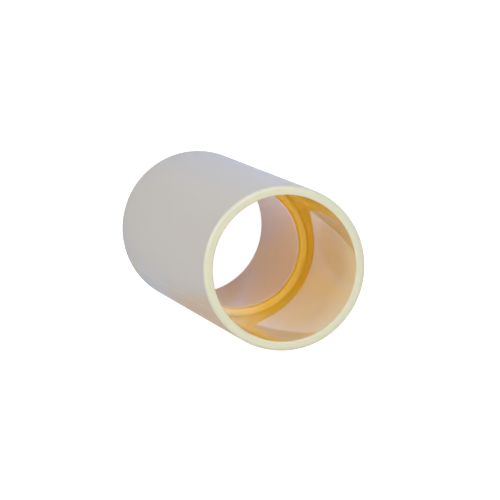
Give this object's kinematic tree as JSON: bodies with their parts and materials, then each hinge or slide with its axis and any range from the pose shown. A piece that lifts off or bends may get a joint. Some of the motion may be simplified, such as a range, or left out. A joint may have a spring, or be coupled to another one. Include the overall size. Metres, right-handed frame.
{
  "type": "pvc pipe coupling",
  "caption": "Straight one-piece moulded plastic coupling for thin-wall pipe, with a plain socket at each end and a raised stop ring halfway along its bore.",
  "frame": {"origin": "centre of the lower mouth, on the plane that the coupling stands on", "axes": "+Z along the bore from the lower mouth to the upper one; X and Y are alike, because the part is round"},
  "size_m": [0.023, 0.023, 0.0548],
  "materials": {
    "coupling": "cream injection-moulded rigid plastic, satin outside and glossy in the sockets"
  },
  "bodies": {
    "root": {"coupling": "coupling"}
  },
  "joints": []
}
